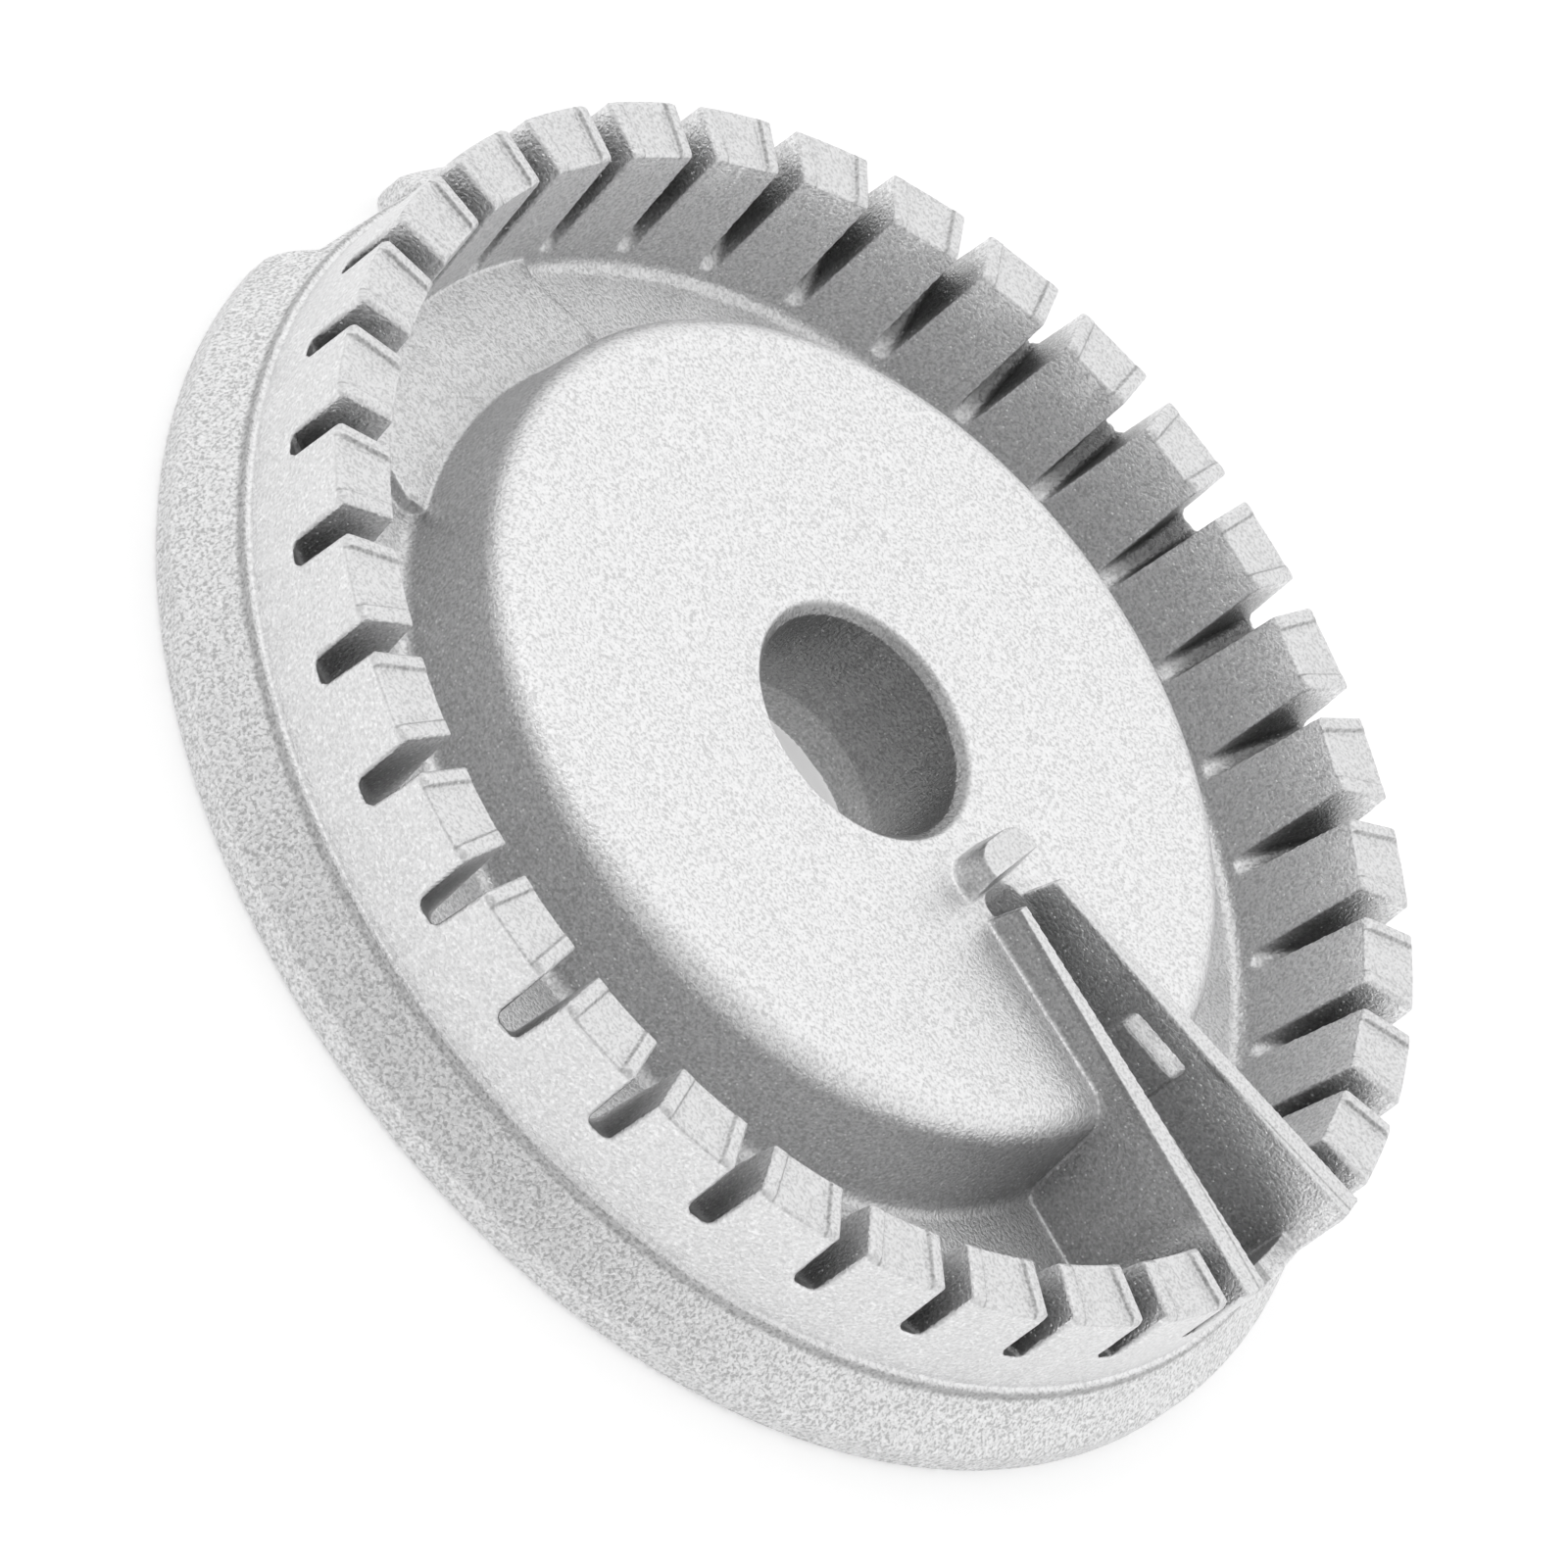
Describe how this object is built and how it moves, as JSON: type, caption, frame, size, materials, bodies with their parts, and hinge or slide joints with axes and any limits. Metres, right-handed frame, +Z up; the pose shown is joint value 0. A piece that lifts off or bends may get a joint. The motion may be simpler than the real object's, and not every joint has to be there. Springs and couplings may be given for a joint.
{
  "type": "gas burner base",
  "caption": "Round cast burner base: a slotted crown around a ring channel and a raised plateau with a central bore, an ignition channel cut out through the crown.",
  "frame": {"origin": "on the bore axis, in the plane the base stands on", "axes": "+Z up the bore towards the tooth tops, +X out along the ignition channel"},
  "size_m": [0.0794, 0.08, 0.013],
  "materials": {
    "cast_aluminium": "fine sand-blasted casting"
  },
  "bodies": {
    "root": {"burner_base": "cast_aluminium"}
  },
  "joints": []
}
